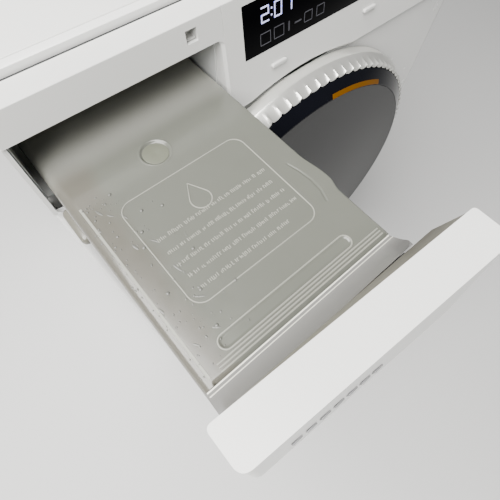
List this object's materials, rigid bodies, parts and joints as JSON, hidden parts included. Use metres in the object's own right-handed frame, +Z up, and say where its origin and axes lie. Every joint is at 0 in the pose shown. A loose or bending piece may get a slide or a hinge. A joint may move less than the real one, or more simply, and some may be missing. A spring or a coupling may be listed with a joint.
{
  "type": "front load washing machine",
  "caption": "White front load washing machine with its detergent drawer open, a round dark door in a silver ring, a dial and a black display.",
  "frame": {"origin": "on the floor, under the middle of the machine with its drawer open", "axes": "+Z up, normal to the worktop face; the front faces -Y; +X is the machine's right side seen from the front"},
  "size_m": [0.598, 0.8456, 0.85],
  "materials": {
    "white_paint": "smooth stove enamel",
    "white_plastic": "satin moulded plastic",
    "grey_plastic": "satin moulded plastic",
    "translucent_plastic": "milky translucent polypropylene",
    "beige_plastic": "fine moulded grain",
    "black_gloss": "polished",
    "silver": "satin chrome plating",
    "smoke_cover": "polished smoke tint",
    "door_glass": "clear moulded glass",
    "amber": "printed accent",
    "steel": "bright stainless steel",
    "zinc": "galvanised sheet",
    "aluminium": "cast",
    "rubber": "soft grey rubber",
    "black_rubber": "matt black rubber",
    "tub_plastic": "filled polypropylene",
    "concrete": "cast concrete, matt",
    "circuit_green": "circuit board lacquer"
  },
  "bodies": {
    "cabinet": {"front_panel": "white_paint", "kick_panel": "white_paint", "side_panel_left": "white_paint", "side_panel_right": "white_paint", "rear_panel": "zinc", "top_plate": "white_plastic", "base_tray": "zinc", "foot_front_left": "black_rubber", "foot_front_right": "black_rubber", "foot_rear_left": "black_rubber", "foot_rear_right": "black_rubber", "console": "white_plastic", "display_window": "black_gloss", "control_board": "circuit_green", "dispenser_housing": "tub_plastic", "door_hinge_bracket": "zinc", "door_lock": "black_rubber", "door_gasket": "rubber", "tub_front": "tub_plastic", "tub_rear": "tub_plastic", "motor": "aluminium", "belt": "black_rubber", "front_counterweight": "concrete", "top_counterweight": "concrete", "suspension_spring_left": "steel", "suspension_spring_right": "steel", "damper_left": "black_rubber", "damper_right": "black_rubber", "inlet_valve": "white_plastic", "fill_hose": "black_rubber", "dispenser_hose": "black_rubber", "drain_pump": "white_plastic", "sump_hose": "black_rubber", "drain_hose": "black_rubber", "drain_outlet": "grey_plastic", "heater": "steel"},
    "drawer": {"drawer_front": "white_plastic", "drawer_backplate": "beige_plastic", "drawer_cove": "grey_plastic", "drawer_tray": "translucent_plastic"},
    "tray_lid": {"drawer_lid": "translucent_plastic"},
    "door": {"door_trim_ring": "silver", "door_black_ring": "black_gloss", "door_cover": "smoke_cover", "door_accent": "amber", "door_inner_frame": "white_plastic", "door_glass": "door_glass", "door_hinge_leaf": "zinc"},
    "drum_group": {"drum": "steel", "drum_spider": "aluminium", "drum_paddle_1": "white_plastic", "drum_paddle_2": "white_plastic", "drum_paddle_3": "white_plastic", "drum_pulley": "aluminium"},
    "motor_rotor": {"motor_pulley": "steel"},
    "dial": {"knob": "white_plastic"},
    "key_left": {"button_left": "white_plastic"},
    "key_right": {"button_right": "white_plastic"},
    "flap": {"service_flap": "white_plastic"},
    "filter_cap": {"pump_filter_cap": "grey_plastic"}
  },
  "joints": [
    {"name": "drawer_slide", "type": "slide", "parent": "cabinet", "child": "drawer", "axis": [0, -1, 0], "range_m": [-0.2275, 0]},
    {"name": "lid_hinge", "type": "hinge", "parent": "drawer", "child": "tray_lid", "pos_m": [-0.2017, -0.0812, 0.774], "axis": [-1, 0, 0], "range_deg": [0, 32]},
    {"name": "door_hinge", "type": "hinge", "parent": "cabinet", "child": "door", "pos_m": [-0.2565, -0.1592, 0.4875], "axis": [0, 0, -1], "range_deg": [0, 110]},
    {"name": "drum_spin", "type": "hinge", "parent": "cabinet", "child": "drum_group", "pos_m": [0, -0.1372, 0.4875], "axis": [0, 1, 0], "continuous": true},
    {"name": "motor_spin", "type": "hinge", "parent": "cabinet", "child": "motor_rotor", "pos_m": [0.03, -0.1372, 0.155], "axis": [0, 1, 0], "continuous": true},
    {"name": "knob_turn", "type": "hinge", "parent": "cabinet", "child": "dial", "pos_m": [0.235, -0.14625, 0.798], "axis": [0, -0.9876, 0.157], "continuous": true},
    {"name": "key_left_press", "type": "slide", "parent": "cabinet", "child": "key_left", "axis": [0, 0.9876, -0.157], "range_m": [0, 0.001], "stiffness_N_per_m": 600, "springref_m": -0.0005},
    {"name": "key_right_press", "type": "slide", "parent": "cabinet", "child": "key_right", "axis": [0, 0.9876, -0.157], "range_m": [0, 0.001], "stiffness_N_per_m": 600, "springref_m": -0.0005},
    {"name": "flap_hinge", "type": "hinge", "parent": "cabinet", "child": "flap", "pos_m": [0.215, -0.1492, 0.0351], "axis": [1, 0, 0], "range_deg": [0, 90]},
    {"name": "filter_cap_turn", "type": "hinge", "parent": "cabinet", "child": "filter_cap", "pos_m": [0.215, -0.1372, 0.066], "axis": [0, -1, 0], "range_deg": [0, 270]}
  ],
  "couplings": [
    {"joint": "motor_spin", "follows": "drum_spin", "ratio": 14.286}
  ]
}
